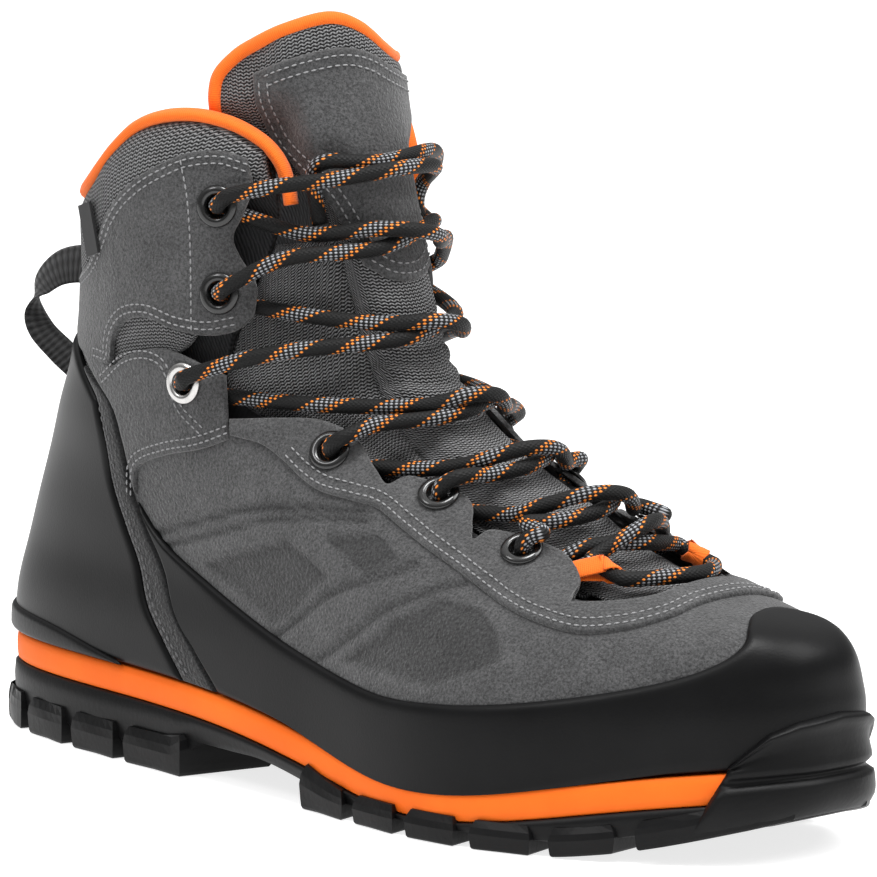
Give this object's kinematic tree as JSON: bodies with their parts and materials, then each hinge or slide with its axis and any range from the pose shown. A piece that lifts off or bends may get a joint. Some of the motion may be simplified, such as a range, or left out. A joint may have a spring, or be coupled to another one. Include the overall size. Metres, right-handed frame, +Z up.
{
  "type": "hiking boot",
  "caption": "Ankle-high lace-up hiking boot for the right foot with lugged rubber sole, foam midsole, rubber rand, suede and mesh upper and padded tongue",
  "frame": {"origin": "centre of the boot's plan outline, on the ground under the tread", "axes": "+X towards the toe, along the length; -Y towards the outer side of the foot; +Z up"},
  "size_m": [0.2978, 0.1047, 0.2075],
  "materials": {
    "tread_rubber": "moulded black rubber, matt with faint texture",
    "midsole_foam": "matt moulded foam",
    "shank_steel": "plain strip steel, hidden",
    "insole_board": "pressed fibre board, hidden",
    "footbed_fabric": "felt-faced foam",
    "rand_rubber": "smooth matt rubber sheet",
    "dark_suede": "dark suede strip",
    "stiffener": "thermoplastic sheet, hidden",
    "lining_fabric": "brushed lining cloth over membrane",
    "grey_suede": "mid-grey suede with short nap",
    "dark_mesh": "charcoal knitted mesh",
    "grey_mesh": "grey and black knitted mesh, padded",
    "orange_binding": "plain woven tape",
    "black_metal": "gloss black enamel",
    "lace_braid": "round black braid with light grey and orange flecks",
    "black_webbing": "ribbed webbing",
    "label_cloth": "satin woven label, plain"
  },
  "bodies": {
    "boot": {"outsole": "tread_rubber", "midsole": "midsole_foam", "shank": "shank_steel", "insole_board": "insole_board", "footbed": "footbed_fabric", "heel_lip": "tread_rubber", "toe_bumper": "tread_rubber", "rand": "rand_rubber", "heel_cover": "rand_rubber", "heel_trim_lateral": "dark_suede", "heel_trim_medial": "dark_suede", "toe_puff": "stiffener", "heel_counter": "stiffener", "lining_foot": "lining_fabric", "lining_shaft": "lining_fabric", "vamp": "grey_suede", "heel_quarter": "dark_suede", "quarter_lateral": "dark_mesh", "quarter_medial": "dark_mesh", "collar_pad": "grey_mesh", "cuff_lateral": "grey_suede", "cuff_medial": "grey_suede", "ankle_lateral": "grey_suede", "ankle_medial": "grey_suede", "eyestay": "grey_suede", "collar_binding": "orange_binding", "tongue_lower": "dark_mesh", "gusset_lateral": "dark_mesh", "gusset_medial": "dark_mesh", "tongue_patch_lower": "grey_suede", "eyelet_lateral_1": "black_metal", "eyelet_lateral_2": "black_metal", "eyelet_lateral_3": "black_metal", "eyelet_lateral_4": "black_metal", "eyelet_lateral_5": "black_metal", "eyelet_lateral_6": "black_metal", "eyelet_medial_1": "black_metal", "eyelet_medial_2": "black_metal", "eyelet_medial_3": "black_metal", "eyelet_medial_4": "black_metal", "eyelet_medial_5": "black_metal", "eyelet_medial_6": "black_metal", "lace_loop_lateral": "orange_binding", "lace_loop_medial": "orange_binding", "lace": "lace_braid", "loop_tabs": "black_webbing"},
    "tongue_top": {"tongue_upper": "grey_mesh", "tongue_patch_upper": "grey_suede", "tongue_binding": "orange_binding"},
    "pull_loop": {"pull_loop": "black_webbing"},
    "side_label": {"side_label": "label_cloth"}
  },
  "joints": [
    {"name": "tongue_tilt", "type": "hinge", "parent": "boot", "child": "tongue_top", "pos_m": [-0.0084, 0.0003, 0.1715], "axis": [0, 1, 0], "range_deg": [0, 30]},
    {"name": "pull_loop_swing", "type": "hinge", "parent": "boot", "child": "pull_loop", "pos_m": [-0.12215, -0.0012, 0.11175], "axis": [-0.253, -0.101, -0.9622], "range_deg": [-12, 20]},
    {"name": "label_flip", "type": "hinge", "parent": "boot", "child": "side_label", "pos_m": [-0.0797, -0.04058, 0.14584], "axis": [-0.2786, 0.028, 0.96], "range_deg": [0, 35]}
  ]
}
